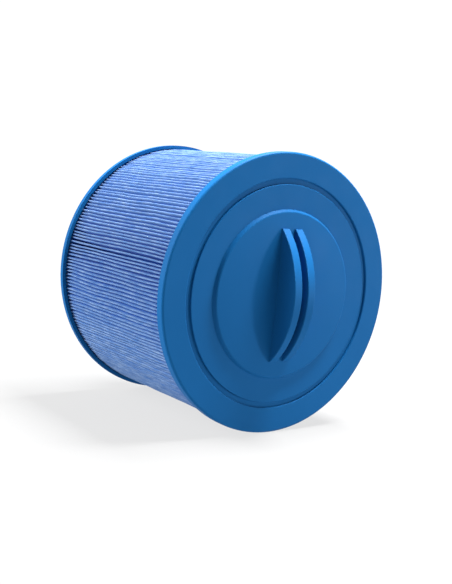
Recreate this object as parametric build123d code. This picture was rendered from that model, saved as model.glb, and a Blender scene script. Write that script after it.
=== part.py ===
from build123d import *
import math
import os

# Screw-in pool and spa filter cartridge: a pleated pack round a perforated core, held between two
# cast end caps. One cap carries a moulded plate with a hand grip, the other a plate with a pipe thread.
# Millimetres. Each piece is built upright, with the grip end up, and laid on its side at the end:
# the cartridge's axis then runs along Y, the grip faces -Y, the thread faces +Y and the grip's two
# blades stand along Z. The origin is the centre of the thread end's outer face.

# Overall sizes
cap_diameter = 211.0
body_length = 155.0

# End caps, cast in urethane round the moulded plates
grip_rim_height = 6.6
thread_rim_height = 5.2
cap_edge_round = 1.7
skirt_thickness = 2.7
pleat_seat_depth = 1.2
groove_width = 4.0
groove_depth = 1.7
groove_lip_round = 0.9

# Moulded plates
plate_diameter = 164.0
plate_thickness = 2.4
plate_edge_round = 0.5
collar_wall = 2.5
collar_reach = 8.0
rib_thickness = 2.0
rib_count = 8

# Grip end: a domed puck with two arched blades
puck_diameter = 124.2
puck_step = 2.5
puck_draft = 1.5
puck_crown = 2.4
puck_edge_round = 1.3
puck_wall = 3.0
blade_length = 99.0
blade_thickness = 6.8
blade_slot = 5.7
blade_rise = 20.5
blade_end_height = 1.2
blade_edge_round = 0.6

# Thread end: 1-1/2 inch taper pipe thread on a hollow spigot
spigot_length = 22.0
spigot_wall = 2.9
thread_pitch = 25.4 / 11.5
thread_depth = 0.8 * thread_pitch
thread_small_end_diameter = 47.4
thread_length = 15.0
thread_taper = 1 / 16
thread_crest_width = 0.35
thread_flank_width = 0.72
thread_root_overlap = 0.3
spigot_root_round = 1.5
spigot_end_chamfer = 1.0
hub_rib_height = 6.0

# Core tube
core_diameter = 92.0
core_wall = 2.5
window_width = 12.0
window_height = 15.0
window_corner = 3.0
windows_around = 12
window_rows = 7
core_end_band = 10.0

# Pleated media
pleat_count = 230
media_thickness = 0.5
seam_angle = -40.0
seam_setback = 1.1
seam_bead_depth = 7.0

# Clearances
bond_line = 0.1
collar_clearance = 0.25
core_clearance = 0.3
skirt_clearance = 0.3

# Sizes that follow from the ones above
cap_radius = cap_diameter / 2
plate_radius = plate_diameter / 2
puck_radius = puck_diameter / 2
skirt_inner_radius = cap_radius - skirt_thickness
groove_radius = plate_radius + groove_width
core_radius = core_diameter / 2
core_inner_radius = core_radius - core_wall
collar_radius = core_inner_radius - collar_clearance
collar_inner_radius = collar_radius - collar_wall
pleat_tip_radius = skirt_inner_radius - skirt_clearance
pleat_root_radius = core_radius + core_clearance
grip_seat_depth = grip_rim_height - pleat_seat_depth
thread_seat_depth = thread_rim_height - pleat_seat_depth
pack_length = body_length - grip_seat_depth - thread_seat_depth
crown_height = puck_step + puck_crown
crown_sphere_radius = (puck_radius**2 + puck_crown**2) / (2 * puck_crown)
spigot_small_radius = thread_small_end_diameter / 2 - thread_depth
spigot_large_radius = spigot_small_radius + spigot_length * thread_taper / 2
bore_radius = spigot_small_radius - spigot_wall


def turned(*lines):
    """Solid of revolution about Z of a closed outline drawn as (radius, height)."""
    return revolve(Plane.XZ * make_face(Curve() + list(lines)), axis=Axis.Z)


def circles_at(part, radius, height):
    """Circular edges of a turned piece with this radius, at this height."""
    rings = part.edges().filter_by(GeomType.CIRCLE)
    return rings.filter_by(lambda e: abs(e.radius - radius) < 0.01 and abs(e.center().Z - height) < 0.01)


def crown_level(radius):
    """Height of the puck's domed face above the plate at this distance from the axis."""
    sphere_centre = crown_height - crown_sphere_radius
    return sphere_centre + math.sqrt(crown_sphere_radius**2 - radius**2)


def end_cap(rim_height):
    """Cast cap with its outer face at z = 0: rim, skirt over the pleat ends, groove and plate pocket."""
    seat = pleat_seat_depth - rim_height
    outline = Polyline(
        (core_inner_radius, -plate_thickness),
        (plate_radius, -plate_thickness),
        (plate_radius, -groove_depth),
        (groove_radius, -groove_depth),
        (groove_radius, 0),
        (cap_radius, 0),
        (cap_radius, -rim_height),
        (skirt_inner_radius, -rim_height),
        (skirt_inner_radius, seat),
        (core_inner_radius, seat),
        close=True,
    )
    cap = turned(outline)
    cap = fillet(circles_at(cap, cap_radius, 0), cap_edge_round)
    return fillet(circles_at(cap, groove_radius, 0), groove_lip_round)


def collar(seat_depth):
    """Ring under a plate that passes through the cap and centres the core tube."""
    height = seat_depth - plate_thickness + collar_reach
    ring = Cylinder(collar_radius, height) - Cylinder(collar_inner_radius, height)
    return Pos(0, 0, -plate_thickness - height / 2) * ring


def radial_ribs(inner_radius, outer_radius, bottom, top):
    """Equal ribs spread round the axis between two radii and two heights."""
    rib = Box(outer_radius - inner_radius, rib_thickness, top - bottom)
    placed = Pos((inner_radius + outer_radius) / 2, 0, (bottom + top) / 2) * rib
    return [Rot(0, 0, (n + 0.5) * 360 / rib_count) * placed for n in range(rib_count)]


def grip_blade():
    """One arched blade, standing on the plate side of x = 0 towards +x."""
    half = blade_length / 2
    tip = crown_level(half) + blade_end_height
    foot = crown_height - puck_wall
    crest = crown_height + blade_rise
    outline = Curve() + [
        ThreePointArc((-half, tip), (0, crest), (half, tip)),
        Polyline((half, tip), (half, foot), (-half, foot), (-half, tip)),
    ]
    blade = extrude(Plane.YZ * make_face(outline), blade_thickness)
    crest_edges = blade.edges().filter_by(GeomType.CIRCLE)
    return Pos(blade_slot / 2, 0, 0) * fillet(crest_edges, blade_edge_round)


def handle_plate():
    """Moulded plate of the grip end: disc, domed puck, two blades, and a ribbed hollow underneath."""
    edge = plate_radius - bond_line
    blank = turned(
        Polyline(
            (0, crown_height),
            (0, -plate_thickness),
            (edge, -plate_thickness),
            (edge, 0),
            (puck_radius + puck_draft, 0),
            (puck_radius, puck_step),
        ),
        ThreePointArc(
            (puck_radius, puck_step),
            (puck_radius / 2, crown_level(puck_radius / 2)),
            (0, crown_height),
        ),
    )
    blank = fillet(circles_at(blank, puck_radius, puck_step), puck_edge_round)
    blank = fillet(circles_at(blank, edge, 0), plate_edge_round)
    hollow_top = crown_height - puck_wall
    hollow_height = hollow_top + plate_thickness
    hollow = Pos(0, 0, hollow_top - hollow_height / 2) * Cylinder(collar_inner_radius, hollow_height)
    plate = blank + collar(grip_seat_depth) - hollow
    plate += radial_ribs(0, collar_inner_radius + collar_wall / 2, -plate_thickness, hollow_top)
    blade = grip_blade()
    return plate + blade + mirror(blade, Plane.YZ)


def pipe_thread():
    """Tapered helical ridge on the spigot, from near its root to near its open end."""
    start = spigot_length - thread_length - thread_pitch
    root_radius = spigot_large_radius - start * thread_taper / 2
    cone_angle = -math.degrees(math.atan(thread_taper / 2))
    path = Helix(thread_pitch, thread_length, root_radius, center=(0, 0, start), cone_angle=cone_angle)
    section_plane = Plane(origin=path @ 0, x_dir=(1, 0, 0), z_dir=path % 0)
    flank = thread_flank_width * thread_pitch / 2
    crest = thread_crest_width / 2
    section = make_face(
        Polyline(
            (-thread_root_overlap, -flank),
            (thread_depth, -crest),
            (thread_depth, crest),
            (-thread_root_overlap, flank),
            close=True,
        )
    )
    return sweep(section_plane * section, path=path, is_frenet=True)


def thread_plate():
    """Moulded plate of the thread end, its outer face at z = 0 and its threaded spigot upwards."""
    edge = plate_radius - bond_line
    blank = turned(
        Polyline(
            (bore_radius, -plate_thickness),
            (edge, -plate_thickness),
            (edge, 0),
            (spigot_large_radius, 0),
            (spigot_small_radius, spigot_length),
            (bore_radius, spigot_length),
            close=True,
        )
    )
    blank = fillet(circles_at(blank, edge, 0), plate_edge_round)
    blank = fillet(circles_at(blank, spigot_large_radius, 0), spigot_root_round)
    blank = chamfer(circles_at(blank, spigot_small_radius, spigot_length), spigot_end_chamfer)
    hub_height = plate_thickness + hub_rib_height
    hub = Cylinder(spigot_large_radius, hub_rib_height) - Cylinder(bore_radius, hub_rib_height)
    plate = blank + collar(thread_seat_depth)
    plate += Pos(0, 0, -plate_thickness - hub_rib_height / 2) * hub
    plate += radial_ribs(
        (bore_radius + spigot_large_radius) / 2,
        collar_inner_radius + collar_wall / 2,
        -hub_height,
        -plate_thickness,
    )
    return plate + pipe_thread()


def core_tube():
    """Perforated centre tube, standing between the two caps, with its lower end at z = 0."""
    tube = Cylinder(core_radius, pack_length) - Cylinder(core_inner_radius, pack_length)
    row_pitch = (pack_length - 2 * core_end_band) / window_rows
    opening = fillet(Box(core_diameter, window_width, window_height).edges().filter_by(Axis.X), window_corner)
    windows = []
    for row in range(window_rows):
        height = (row + 0.5 - window_rows / 2) * row_pitch
        for step in range(windows_around):
            window = Pos(core_radius, 0, height) * opening
            windows.append(Rot(0, 0, step * 360 / windows_around) * window)
    return Pos(0, 0, pack_length / 2) * (tube - windows)


def at(radius, angle):
    """Point in the XY plane at this radius and angle in radians."""
    return Vector(radius * math.cos(angle), radius * math.sin(angle))


class Pleats:
    """Flat pattern of the pleats: outer folds on whole steps round the axis, inner folds between them."""

    step = 2 * math.pi / pleat_count
    first = math.radians(seam_angle)
    # The middle of the media turns round each fold at a quarter of the pitch there, so that the flats
    # are evenly spaced all the way round.
    outer_centre_radius = (pleat_tip_radius - media_thickness / 2) / (1 + step / 4)
    inner_centre_radius = (pleat_root_radius + media_thickness / 2) / (1 - step / 4)
    outer_fold_radius = outer_centre_radius * step / 4
    inner_fold_radius = inner_centre_radius * step / 4

    def outer_centre(self, n):
        return at(self.outer_centre_radius, self.first + n * self.step)

    def inner_centre(self, n):
        return at(self.inner_centre_radius, self.first + (n + 0.5) * self.step)

    def flat_normal(self, outer, inner, side):
        """Unit normal of the flat between two folds, away from the middle of the outer fold."""
        span = inner - outer
        along = span.normalized()
        across = Vector(along.Y, -along.X) * side
        lean = (self.outer_fold_radius + self.inner_fold_radius) / span.length
        return along * lean + across * math.sqrt(1 - lean**2)

    def flat_ends(self, n, side, offset):
        """Ends of a flat's surface, first at outer fold n, then at the inner fold on its given side."""
        outer = self.outer_centre(n)
        inner = self.inner_centre(n if side > 0 else n - 1)
        normal = self.flat_normal(outer, inner, side)
        tip = outer + normal * (self.outer_fold_radius + offset)
        root = inner - normal * (self.inner_fold_radius - offset)
        return tip, root

    def seam_end(self, side, offset):
        """End of the strip's surface at the seam, which takes the place of outer fold 0."""
        tip, root = self.flat_ends(0, side, offset)
        return tip + (root - tip).normalized() * seam_setback

    def surface(self, offset):
        """Edges of one surface of the strip, in order round the axis from the seam back to the seam."""
        crest_radius = self.outer_centre_radius + self.outer_fold_radius + offset
        valley_radius = self.inner_centre_radius - self.inner_fold_radius + offset
        edges = [Line(self.seam_end(1, offset), self.flat_ends(0, 1, offset)[1])]
        for n in range(1, pleat_count + 1):
            before_root = self.flat_ends(n - 1, 1, offset)[1]
            tip, root = self.flat_ends(n, -1, offset)
            turn = at(valley_radius, self.first + (n - 0.5) * self.step)
            edges.append(ThreePointArc(before_root, turn, root))
            if n == pleat_count:
                edges.append(Line(root, self.seam_end(-1, offset)))
                break
            next_tip, next_root = self.flat_ends(n, 1, offset)
            top = at(crest_radius, self.first + n * self.step)
            edges.append(Line(root, tip))
            edges.append(ThreePointArc(tip, top, next_tip))
            edges.append(Line(next_tip, next_root))
        return edges


def pleated_media():
    """The folded strip of media, one solid from seam to seam."""
    pleats = Pleats()
    dirty, clean = media_thickness / 2, -media_thickness / 2
    ends = [Line(pleats.seam_end(side, dirty), pleats.seam_end(side, clean)) for side in (1, -1)]
    outline = Wire(pleats.surface(dirty) + ends + pleats.surface(clean))
    return extrude(Face(outline), pack_length, dir=(0, 0, 1))


def seam_bead():
    """Adhesive bead that joins the two ends of the strip and rounds over between them."""
    pleats = Pleats()
    clean = -media_thickness / 2
    tops = [pleats.seam_end(side, clean) for side in (1, -1)]
    roots = [pleats.flat_ends(0, side, clean)[1] for side in (1, -1)]
    bottoms = [top + (root - top).normalized() * seam_bead_depth for top, root in zip(tops, roots)]
    outline = Curve() + [
        Polyline(tops[0], bottoms[0], bottoms[1], tops[1]),
        ThreePointArc(tops[1], at(pleat_tip_radius - media_thickness / 2, pleats.first), tops[0]),
    ]
    return extrude(make_face(outline), pack_length, dir=(0, 0, 1))


grip_end = Pos(0, 0, body_length)
thread_end = Rot(180, 0, 0)
pack_start = Pos(0, 0, thread_seat_depth)

pieces = {
    "top_end_cap": grip_end * end_cap(grip_rim_height),
    "handle_plate": grip_end * handle_plate(),
    "bottom_end_cap": thread_end * end_cap(thread_rim_height),
    "thread_plate": thread_end * thread_plate(),
    "core_tube": pack_start * core_tube(),
    "pleated_media": pack_start * pleated_media(),
    "seam_bead": pack_start * seam_bead(),
}

os.makedirs("parts", exist_ok=True)
for name, piece in pieces.items():
    export_step(Rot(90, 0, 0) * piece, f"parts/{name}.step")
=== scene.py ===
import math

import bpy
import numpy as np
from mathutils import Matrix, Vector


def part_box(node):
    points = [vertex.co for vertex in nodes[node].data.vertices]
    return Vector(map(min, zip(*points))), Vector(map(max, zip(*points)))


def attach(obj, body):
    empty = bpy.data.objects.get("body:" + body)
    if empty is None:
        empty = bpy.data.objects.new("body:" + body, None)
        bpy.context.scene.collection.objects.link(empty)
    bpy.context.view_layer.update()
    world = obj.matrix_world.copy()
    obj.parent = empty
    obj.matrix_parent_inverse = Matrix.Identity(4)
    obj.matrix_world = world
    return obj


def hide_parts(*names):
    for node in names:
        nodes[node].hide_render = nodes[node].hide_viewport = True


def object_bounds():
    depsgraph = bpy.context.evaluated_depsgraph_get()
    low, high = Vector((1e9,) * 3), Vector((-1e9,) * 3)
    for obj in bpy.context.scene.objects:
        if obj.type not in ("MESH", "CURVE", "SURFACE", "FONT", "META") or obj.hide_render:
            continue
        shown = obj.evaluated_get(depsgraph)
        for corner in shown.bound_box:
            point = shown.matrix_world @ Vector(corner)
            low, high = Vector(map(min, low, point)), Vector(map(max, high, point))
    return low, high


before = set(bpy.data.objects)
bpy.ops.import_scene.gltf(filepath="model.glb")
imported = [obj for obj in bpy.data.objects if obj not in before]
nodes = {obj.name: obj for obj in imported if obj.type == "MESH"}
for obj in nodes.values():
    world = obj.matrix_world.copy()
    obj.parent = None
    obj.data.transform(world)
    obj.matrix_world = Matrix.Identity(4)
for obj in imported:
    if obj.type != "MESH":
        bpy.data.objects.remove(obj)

# Looks of a pleated pool and spa filter cartridge that lies on the rims of its two end caps.
# Metres. The cartridge's axis runs along Y: the grip end faces -Y and the threaded end +Y.

MM = 0.001
NOISE_LOW, NOISE_HIGH = 0.35, 0.65       # where most of a noise node's values lie
VIEW_HEADING = math.radians(36.99)       # the camera looks this far round from +Y towards +X

cad_box = [list(corner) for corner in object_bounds()]
media_low, media_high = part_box("pleated_media")
tip_radius = (media_high.z - media_low.z) / 2


# ---------------------------------------------------------------- node material helpers

class Shader:
    """A material's node tree, with short calls for the nodes used here."""

    def __init__(self, name):
        self.material = bpy.data.materials.new(name)
        self.material.use_nodes = True
        self.tree = self.material.node_tree
        self.surface = self.tree.nodes["Principled BSDF"]
        self.place = self.add("ShaderNodeTexCoord").outputs["Object"]

    def add(self, kind, **settings):
        node = self.tree.nodes.new(kind)
        for key, value in settings.items():
            setattr(node, key, value)
        return node

    def join(self, source, target):
        self.tree.links.new(source, target)

    def set(self, **values):
        """Constants on the surface shader's own sockets; underscores stand for spaces."""
        for key, value in values.items():
            self.surface.inputs[key.replace("_", " ")].default_value = value

    def noise(self, scale, detail=3.0, roughness=0.5, stretch=(1, 1, 1)):
        """Noise over the object's own place, with scale in features per metre."""
        mapping = self.add("ShaderNodeMapping")
        mapping.inputs["Scale"].default_value = stretch
        self.join(self.place, mapping.inputs["Vector"])
        node = self.add("ShaderNodeTexNoise")
        node.inputs["Scale"].default_value = scale
        node.inputs["Detail"].default_value = detail
        node.inputs["Roughness"].default_value = roughness
        self.join(mapping.outputs["Vector"], node.inputs["Vector"])
        return node.outputs["Fac"]

    def spread(self, value, low=NOISE_LOW, high=NOISE_HIGH, to_low=0.0, to_high=1.0):
        """Map low..high of a value onto to_low..to_high, held at the ends; to_high may be a socket."""
        node = self.add("ShaderNodeMapRange")
        for key, number in zip(("From Min", "From Max", "To Min"), (low, high, to_low)):
            node.inputs[key].default_value = number
        if isinstance(to_high, float):
            node.inputs["To Max"].default_value = to_high
        else:
            self.join(to_high, node.inputs["To Max"])
        self.join(value, node.inputs["Value"])
        return node.outputs["Result"]

    def mix(self, share, first, second):
        """Blend of two colours, each a tuple or a socket."""
        node = self.add("ShaderNodeMix", data_type="RGBA")
        colours = (node.inputs[6], node.inputs[7])
        for socket, colour in zip(colours, (first, second)):
            if isinstance(colour, tuple):
                socket.default_value = (*colour, 1.0)
            else:
                self.join(colour, socket)
        self.join(share, node.inputs["Factor"])
        return node.outputs[2]

    def along_floor(self, heading):
        """Distance over the floor from the origin, in a direction turned from +Y towards +X."""
        node = self.add("ShaderNodeVectorMath", operation="DOT_PRODUCT")
        node.inputs[1].default_value = (math.sin(heading), math.cos(heading), 0)
        self.join(self.place, node.inputs[0])
        return node.outputs["Value"]

    def from_axis(self):
        """Distance from the cartridge's axis, which runs along Y."""
        across = self.add("ShaderNodeVectorMath", operation="MULTIPLY")
        across.inputs[1].default_value = (1, 0, 1)
        self.join(self.place, across.inputs[0])
        node = self.add("ShaderNodeVectorMath", operation="LENGTH")
        self.join(across.outputs["Vector"], node.inputs[0])
        return node.outputs["Value"]

    def bump(self, height, distance, under=None):
        """Normal of a surface raised by height times distance, on top of the normal under it."""
        node = self.add("ShaderNodeBump")
        node.inputs["Distance"].default_value = distance
        self.join(height, node.inputs["Height"])
        if under is not None:
            self.join(under, node.inputs["Normal"])
        return node.outputs["Normal"]


def blue_plastic(name, colour, shade, roughness, ripple):
    """Smooth blue plastic: slow drift of colour, fine speckle, uneven gloss and a faint ripple."""
    s = Shader(name)
    drift = s.spread(s.noise(14, detail=2))
    speckle = s.spread(s.noise(2600, detail=1), 0.62, 0.78, 0.0, 0.35)
    s.join(s.mix(speckle, s.mix(drift, colour, shade), shade), s.surface.inputs["Base Color"])
    gloss = s.spread(s.noise(60, detail=4), 0.3, 0.7, *roughness)
    s.join(gloss, s.surface.inputs["Roughness"])
    wave = s.bump(s.noise(38, detail=1), ripple)
    grain = s.bump(s.noise(3200, detail=1), 0.02 * MM, under=wave)
    s.join(grain, s.surface.inputs["Normal"])
    s.set(IOR=1.5, Specular_IOR_Level=0.04)
    return s.material


def filter_fabric():
    """Bonded polyester: matted fibres, fine bond pits, streaks along the pleats, a painted highlight
    on the tips and painted shade down the folds.
    """
    s = Shader("bonded_polyester")
    tips = (0.162, 0.262, 0.455)
    shaded_flanks = (0.0155, 0.091, 0.390)
    dull = (0.056, 0.148, 0.37)
    deep = (0.028, 0.103, 0.325)
    height = s.from_axis()
    # Painted highlight and shade: pale on the outermost 2.6 mm of the tips, darker down the flanks
    # into the folds.
    light = s.mix(s.spread(height, tip_radius - 2.6 * MM, tip_radius - 0.7 * MM), shaded_flanks, tips)
    # Painted light: a blue glow low in the folds, so that they are deep blue and not black.
    fold_glow = s.spread(height, tip_radius - 3.2 * MM, tip_radius - 0.9 * MM, 0.30, 0.0)
    s.join(fold_glow, s.surface.inputs["Emission Strength"])
    s.set(Emission_Color=(0.016, 0.075, 0.36, 1))
    streaks = s.spread(s.noise(900, detail=3, stretch=(1, 0.12, 1)))
    patches = s.spread(s.noise(55, detail=3), 0.35, 0.7, 0.0, 0.38)
    tone = s.mix(patches, s.mix(streaks, dull, light), deep)
    s.join(tone, s.surface.inputs["Base Color"])
    fibres = s.noise(2400, detail=4, roughness=0.7, stretch=(1, 0.35, 1))
    bonds = s.add("ShaderNodeTexVoronoi")
    bonds.inputs["Scale"].default_value = 900
    s.join(s.place, bonds.inputs["Vector"])
    felt = s.bump(fibres, 0.12 * MM)
    pits = s.bump(bonds.outputs["Distance"], 0.05 * MM, under=felt)
    s.join(pits, s.surface.inputs["Normal"])
    s.join(s.spread(fibres, 0.3, 0.7, 0.68, 0.9), s.surface.inputs["Roughness"])
    s.set(Sheen_Weight=0.08, Sheen_Roughness=0.45, Specular_IOR_Level=0.15)
    return s.material


def plain_plastic(name, colour, shade, roughness):
    """Matt plastic with a slow drift of colour and a moulded grain."""
    s = Shader(name)
    s.join(s.mix(s.spread(s.noise(40)), colour, shade), s.surface.inputs["Base Color"])
    s.join(s.spread(s.noise(300), 0.3, 0.7, *roughness), s.surface.inputs["Roughness"])
    s.join(s.bump(s.noise(1800, detail=2), 0.03 * MM), s.surface.inputs["Normal"])
    return s.material


def dress(node, material):
    """Give a CAD node a finished material in every slot."""
    slots = nodes[node].data.materials
    slots.clear()
    slots.append(material)


cast_blue = blue_plastic(
    "cast_urethane",
    colour=(0.0072, 0.110, 0.315),
    shade=(0.0065, 0.104, 0.300),
    roughness=(0.44, 0.52),
    ripple=0.03 * MM,
)
moulded_blue = blue_plastic(
    "moulded_plastic",
    colour=(0.0072, 0.1085, 0.311),
    shade=(0.0065, 0.1025, 0.296),
    roughness=(0.42, 0.50),
    ripple=0.02 * MM,
)
core_white = plain_plastic(
    "core_plastic",
    colour=(0.80, 0.82, 0.83),
    shade=(0.72, 0.75, 0.77),
    roughness=(0.42, 0.55),
)
glue = plain_plastic(
    "hot_melt",
    colour=(0.62, 0.68, 0.78),
    shade=(0.55, 0.61, 0.72),
    roughness=(0.35, 0.5),
)
fabric = filter_fabric()

dress("top_end_cap", cast_blue)
dress("bottom_end_cap", cast_blue)
dress("handle_plate", moulded_blue)
dress("thread_plate", moulded_blue)
dress("core_tube", core_white)
dress("seam_bead", glue)


# ---------------------------------------------------------------- pleats

PLEATS = 230
SHEET = 0.5 * MM              # thickness of the media
TIP_FOLD = 0.46 * MM          # radius of the middle of the sheet round an outer fold
SEAM_ANGLE = math.radians(-40)
CORE_GAP = 0.3 * MM           # between the core tube and the inner folds
RINGS = 24                    # stations along the pleats
END_HOLD = 7 * MM             # length over which the caps hold the pleats still
HELD_SHARE = 0.35             # share of the waves that is left at the caps
PINCH = 0.5                   # share of the outer fold's radius left where a cap pinches it
GROUP_LEAN = 0.42 * MM        # pleats lean over together in groups
GROUP_SPAN = 6                # pleats over which a group stays alike
OWN_LEAN = 0.16 * MM          # each pleat's own lean on top of its group's
WAVE = 0.17 * MM              # sideways waves along the tips
WAVE_SPAN = 2.2               # pleats over which the waves stay alike
WAVE_LENGTHS = (0.035, 0.16)  # metres, shortest and longest
TIP_DROP = 0.55 * MM          # most that a whole tip stands lower than the outermost ones
DIP = 0.12 * MM               # how far a tip dips and rises along its own length
DIP_SPAN = 1.5                # pleats over which the dips stay alike
DIP_LENGTHS = (0.02, 0.06)    # metres, shortest and longest
INNER_ARC = (-50, 50)         # degrees round an inner fold at which the sheet has a point
OUTER_ARC = (-84, -30, 30, 84)
FLANK_SHARE = 0.55            # place of the one point on a flank, from the inner fold outwards

core_low, core_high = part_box("core_tube")
core_radius = (core_high.z - core_low.z) / 2
rng = np.random.default_rng(7)


def smooth_field(pleat, y, reach, lengths, count=40):
    """Smooth random numbers of about unit size over pleat number and length, as a sum of waves.

    The field stays alike over reach pleats; lengths are the shortest and longest wavelength.
    """
    total = np.zeros(np.broadcast(pleat, y).shape)
    for _ in range(count):
        turns = rng.normal(0, 1 / reach)
        length = rng.uniform(*lengths)
        phase = rng.uniform(0, 2 * math.pi)
        total += np.cos(turns * pleat + 2 * math.pi * y / length + phase)
    return total * math.sqrt(2 / count)


def polar(radius, angle):
    """Points across the axis, at a radius and an angle turned from +X towards +Z."""
    return np.stack([radius * np.cos(angle), radius * np.sin(angle)], axis=-1)


def media_line():
    """Middle of the folded sheet: its points and normals across the axis at each station along y."""
    step = 2 * math.pi / PLEATS
    root = (core_radius + CORE_GAP + SHEET / 2) / (1 - step / 4)
    root_fold = root * step / 4
    k = np.arange(PLEATS)[:, None]
    y = np.linspace(media_low.y, media_high.y, RINGS)[None, :]
    from_end = np.minimum(y - media_low.y, media_high.y - y)
    release = np.clip(from_end / END_HOLD, 0, 1)
    free = HELD_SHARE + (1 - HELD_SHARE) * release ** 0.7
    # A group leans the same all the way along, so its field has no y and its wavelengths don't matter.
    group_lean = GROUP_LEAN * smooth_field(k, y * 0, GROUP_SPAN, (1, 2))
    own_lean = OWN_LEAN * rng.normal(0, 1, (PLEATS, 1))
    side = group_lean + own_lean + WAVE * smooth_field(k, y, WAVE_SPAN, WAVE_LENGTHS) * free
    drop = TIP_DROP * rng.random((PLEATS, 1)) ** 2
    dip = DIP * (1 + np.clip(smooth_field(k, y, DIP_SPAN, DIP_LENGTHS), -1, 1)) * free
    fold_radius = TIP_FOLD * (PINCH + (1 - PINCH) * release)[..., None]
    centre = tip_radius - drop - dip - SHEET / 2 - TIP_FOLD

    tip_angle = SEAM_ANGLE + (k + 1) * step + side / centre
    tip = polar(centre, tip_angle)
    valley_angle = SEAM_ANGLE + (k + 0.5) * step + 0 * y
    valley = polar(root + 0 * y, valley_angle)
    next_valley = polar(root + 0 * y, valley_angle + step)

    out = tip / np.linalg.norm(tip, axis=-1, keepdims=True)
    across = np.stack([-out[..., 1], out[..., 0]], axis=-1)
    valley_out = valley / root
    valley_across = np.stack([-valley_out[..., 1], valley_out[..., 0]], axis=-1)
    points, normals = [], []

    def fold(centre_points, radius, outward, sideways, angles, sign):
        for a in np.radians(angles):
            normal = outward * math.cos(a) + sideways * math.sin(a)
            points.append(centre_points + normal * radius)
            normals.append(normal * sign)

    def flank(foot, shoulder, normal):
        points.append(foot * (1 - FLANK_SHARE) + shoulder * FLANK_SHARE)
        normals.append(normal)

    fold(valley, root_fold, -valley_out, valley_across, INNER_ARC, -1)
    flank(valley + valley_across * root_fold, tip - across * fold_radius, -across)
    fold(tip, fold_radius, out, across, OUTER_ARC, 1)
    flank(next_valley - valley_across * root_fold, tip + across * fold_radius, across)
    line = np.stack(points, axis=1).reshape(-1, RINGS, 2)
    normal = np.stack(normals, axis=1).reshape(-1, RINGS, 2)
    return line, normal, y[0]


def smooth_object(name, verts, faces, material):
    """A smooth-shaded mesh object in the scene, in one material."""
    mesh = bpy.data.meshes.new(name)
    mesh.from_pydata(verts, [], faces)
    mesh.polygons.foreach_set("use_smooth", [True] * len(mesh.polygons))
    mesh.materials.append(material)
    mesh.update()
    made = bpy.data.objects.new(name, mesh)
    bpy.context.scene.collection.objects.link(made)
    return made


def build_media():
    """The folded strip as one closed surface: outer side, inner side, both cut ends and the seam."""
    line, normal, y = media_line()
    count = len(line)
    sides = []
    for offset in (SHEET / 2, -SHEET / 2):
        flat = line + normal * offset
        depth = np.broadcast_to(y, (count, RINGS))
        sides.append(np.stack([flat[..., 0], depth, flat[..., 1]], axis=-1))
    verts = np.concatenate([s.reshape(-1, 3) for s in sides])
    index = np.arange(2 * count * RINGS).reshape(2, count, RINGS)

    def quads(a, b, c, d):
        return np.stack([a, b, c, d], axis=-1).reshape(-1, 4)

    outer, inner = index
    faces = [
        quads(outer[:-1, :-1], outer[:-1, 1:], outer[1:, 1:], outer[1:, :-1]),
        quads(inner[:-1, :-1], inner[1:, :-1], inner[1:, 1:], inner[:-1, 1:]),
        quads(outer[:-1, 0], outer[1:, 0], inner[1:, 0], inner[:-1, 0]),
        quads(outer[:-1, -1], inner[:-1, -1], inner[1:, -1], outer[1:, -1]),
        quads(outer[0, :-1], inner[0, :-1], inner[0, 1:], outer[0, 1:]),
        quads(outer[-1, :-1], outer[-1, 1:], inner[-1, 1:], inner[-1, :-1]),
    ]
    piece = smooth_object("media_pleats", verts.tolist(), np.concatenate(faces).tolist(), fabric)
    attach(piece, "root")
    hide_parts("pleated_media")


build_media()


# ---------------------------------------------------------------- studio

rim_low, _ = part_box("top_end_cap")
floor_level = rim_low.z
grip_face = Vector((0, rim_low.y, 0))
middle = Vector((0, (cad_box[0][1] + cad_box[1][1]) / 2, 0))


def glowing_paper():
    """Dark matt paper with a faint tooth and a painted white glow, fullest at the back and weak in
    front.
    """
    s = Shader("glowing_paper")
    tint = s.mix(s.spread(s.noise(3), 0.3, 0.7), (0.07, 0.07, 0.07), (0.069, 0.069, 0.069))
    s.join(tint, s.surface.inputs["Base Color"])
    s.join(s.bump(s.noise(500), 0.05 * MM), s.surface.inputs["Normal"])
    # Painted light: the glow stands in for light thrown on the paper, rising away from the camera.
    away = s.along_floor(VIEW_HEADING)
    back_glow = s.spread(away, 0.3, 1.8, 0.72, 0.97)
    s.join(s.spread(away, -1.9, -0.42, 0.16, back_glow), s.surface.inputs["Emission Strength"])
    s.set(Roughness=0.9, Specular_IOR_Level=0.1, Emission_Color=(1, 1, 1, 1))
    return s.material


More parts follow.
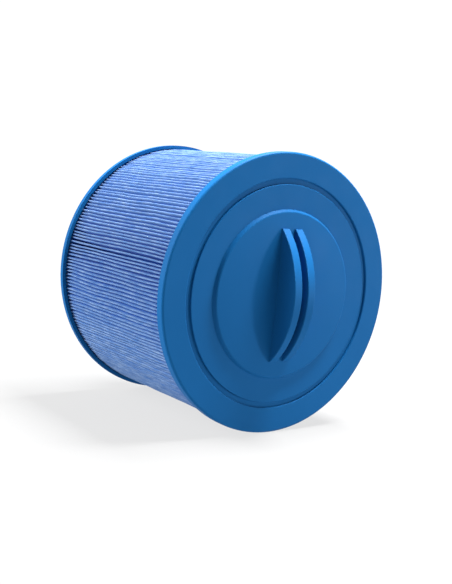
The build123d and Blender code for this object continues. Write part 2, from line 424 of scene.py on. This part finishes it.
def sweep_floor():
    """Floor that curves up into a wall on every side, as a paper sweep does."""
    flat, bend, height = 1.6, 1.2, 3.0
    bend_steps, sectors = 12, 64
    rings = [(flat, 0.0)]
    for n in range(1, bend_steps + 1):
        angle = n / bend_steps * math.pi / 2
        rings.append((flat + bend * math.sin(angle), bend * (1 - math.cos(angle))))
    rings.append((flat + bend, height))
    verts = [(0, 0, floor_level)]
    for radius, rise in rings:
        for n in range(sectors):
            angle = n / sectors * 2 * math.pi
            verts.append((radius * math.cos(angle), radius * math.sin(angle), floor_level + rise))
    faces = [(0, 1 + n, 1 + (n + 1) % sectors) for n in range(sectors)]
    for ring in range(len(rings) - 1):
        base = 1 + ring * sectors
        for n in range(sectors):
            m = (n + 1) % sectors
            faces.append((base + n, base + sectors + n, base + sectors + m, base + m))
    smooth_object("paper_sweep", verts, faces, glowing_paper())


def softbox(name, place, aim, size, power):
    """Rectangular white area light at a place, turned to a point."""
    light = bpy.data.lights.new(name, "AREA")
    light.shape = "RECTANGLE"
    light.size, light.size_y = size
    light.energy = power
    lamp = bpy.data.objects.new(name, light)
    lamp.location = place
    lamp.rotation_euler = (Vector(aim) - Vector(place)).to_track_quat("-Z", "Y").to_euler()
    bpy.context.scene.collection.objects.link(lamp)


def studio_lights():
    """A big box overhead, a wide panel behind on the left and a small lamp in front on the right."""
    softbox("overhead_box", (0.40, -0.15, 1.15), aim=(0.40, -0.15, 0), size=(0.5, 0.6), power=80)
    softbox("rear_left_panel", (-1.15, 0.5, 0.55), aim=middle, size=(1.0, 1.0), power=28)
    softbox("front_right_lamp", (0.98, -1.14, 0.06), aim=grip_face, size=(0.16, 0.16), power=6.2)
    world = bpy.data.worlds.new("studio")
    world.use_nodes = True
    background = world.node_tree.nodes["Background"]
    background.inputs["Color"].default_value = (1.0, 1.0, 1.0, 1.0)
    background.inputs["Strength"].default_value = 0.04
    bpy.context.scene.world = world


def camera():
    """Camera in front of the grip end and to its left, a little above and slightly rolled."""
    from_grip_face = Vector((-0.4421, -0.5172, 0.0832))
    tilt = math.radians(-7.13)
    roll = math.radians(5.34)
    data = bpy.data.cameras.new("main_view")
    data.sensor_width = 36.0
    data.lens = 56.73
    data.clip_start = 0.01
    turn = Matrix.Rotation(-VIEW_HEADING, 4, "Z") @ Matrix.Rotation(math.pi / 2 + tilt, 4, "X")
    turn = turn @ Matrix.Rotation(roll, 4, "Z")
    view = bpy.data.objects.new("main_view", data)
    view.matrix_world = Matrix.Translation(grip_face + from_grip_face) @ turn
    bpy.context.scene.collection.objects.link(view)
    bpy.context.scene.camera = view


sweep_floor()
studio_lights()
camera()
bpy.context.scene.view_settings.view_transform = "Standard"
